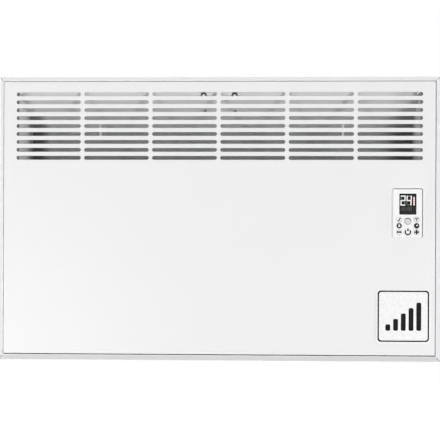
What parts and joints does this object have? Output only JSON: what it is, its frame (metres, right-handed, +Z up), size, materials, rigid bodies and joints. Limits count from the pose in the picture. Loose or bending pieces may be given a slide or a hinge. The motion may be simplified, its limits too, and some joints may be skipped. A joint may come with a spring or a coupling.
{
  "type": "wall panel convector heater",
  "caption": "Slim wall-hung panel convector with a slotted outlet at the top, a small keyed controller and a wall bracket that it lifts off.",
  "frame": {"origin": "on the wall, at the middle of the wall bracket's back face, behind the middle of the heater", "axes": "+X to the right as seen from the front, +Y back towards the wall, +Z up"},
  "size_m": [0.7, 0.093, 0.45],
  "materials": {
    "powder_coat": "white powder coat, satin",
    "zinc_sheet": "galvanised sheet",
    "aluminium_fins": "extruded",
    "screw_steel": "zinc plated",
    "brass": "plain",
    "white_plastic": "moulded",
    "key_plastic": "moulded, satin",
    "grey_plastic": "moulded",
    "black_plastic": "moulded",
    "blue_plastic": "moulded",
    "board": "coated glass fibre",
    "black_rubber": "moulded",
    "silicone": "moulded silicone",
    "ceramic": "glazed ceramic",
    "smoked_lens": "polished, smoked",
    "sticker": "printed film",
    "brown_wire": "insulation",
    "blue_wire": "insulation",
    "white_wire": "insulation",
    "earth_wire": "insulation"
  },
  "bodies": {
    "bracket": {"wall_bracket": "zinc_sheet", "lock_screw_left": "screw_steel", "lock_screw_right": "screw_steel"},
    "heater": {"rear_casing": "powder_coat", "front_panel": "powder_coat", "left_end_plate": "zinc_sheet", "right_end_plate": "zinc_sheet", "deflector": "powder_coat", "heat_shield": "zinc_sheet", "bumper_left": "black_rubber", "bumper_right": "black_rubber", "shield_clip_left": "white_plastic", "shield_clip_right": "white_plastic", "deflector_stay_left": "screw_steel", "deflector_stay_right": "screw_steel", "panel_screw_left": "screw_steel", "panel_screw_right": "screw_steel", "plate_screw_1": "screw_steel", "plate_screw_2": "screw_steel", "plate_screw_3": "screw_steel", "plate_screw_4": "screw_steel", "heating_element": "aluminium_fins", "element_bush_left": "silicone", "element_bush_right": "silicone", "element_insulator": "ceramic", "element_pin_live": "screw_steel", "element_pin_neutral": "screw_steel", "element_cradle": "zinc_sheet", "thermal_cutout": "screw_steel", "control_bezel": "white_plastic", "display_lens": "smoked_lens", "display_module": "black_plastic", "control_board": "board", "control_housing": "grey_plastic", "power_board": "board", "power_relay": "blue_plastic", "label_plate": "sticker", "terminal_block": "white_plastic", "cable_gland": "black_plastic", "gland_nut": "black_plastic", "earth_stud": "brass", "sensor_probe": "screw_steel", "sensor_clip": "white_plastic", "lead_live": "brown_wire", "lead_neutral": "blue_wire", "lead_switched": "brown_wire", "lead_cutout": "white_wire", "lead_earth": "earth_wire", "lead_sensor": "white_wire"},
    "key_menu": {"key_menu": "key_plastic"},
    "key_mode": {"key_mode": "key_plastic"},
    "key_minus": {"key_minus": "key_plastic"},
    "key_signal": {"key_signal": "key_plastic"},
    "key_timer": {"key_timer": "key_plastic"},
    "key_plus": {"key_plus": "key_plastic"},
    "key_select": {"key_select": "key_plastic"},
    "key_power": {"key_power": "key_plastic"}
  },
  "joints": [
    {"name": "heater_lift", "type": "slide", "parent": "bracket", "child": "heater", "axis": [0, 0, 1], "range_m": [0, 0.012]},
    {"name": "press_menu", "type": "slide", "parent": "heater", "child": "key_menu", "axis": [0, 1, 0], "range_m": [0, 0.0006], "stiffness_N_per_m": 2500},
    {"name": "press_mode", "type": "slide", "parent": "heater", "child": "key_mode", "axis": [0, 1, 0], "range_m": [0, 0.0006], "stiffness_N_per_m": 2500},
    {"name": "press_minus", "type": "slide", "parent": "heater", "child": "key_minus", "axis": [0, 1, 0], "range_m": [0, 0.0006], "stiffness_N_per_m": 2500},
    {"name": "press_signal", "type": "slide", "parent": "heater", "child": "key_signal", "axis": [0, 1, 0], "range_m": [0, 0.0006], "stiffness_N_per_m": 2500},
    {"name": "press_timer", "type": "slide", "parent": "heater", "child": "key_timer", "axis": [0, 1, 0], "range_m": [0, 0.0006], "stiffness_N_per_m": 2500},
    {"name": "press_plus", "type": "slide", "parent": "heater", "child": "key_plus", "axis": [0, 1, 0], "range_m": [0, 0.0006], "stiffness_N_per_m": 2500},
    {"name": "press_select", "type": "slide", "parent": "heater", "child": "key_select", "axis": [0, 1, 0], "range_m": [0, 0.0006], "stiffness_N_per_m": 2500},
    {"name": "press_power", "type": "slide", "parent": "heater", "child": "key_power", "axis": [0, 1, 0], "range_m": [0, 0.0006], "stiffness_N_per_m": 2500}
  ]
}
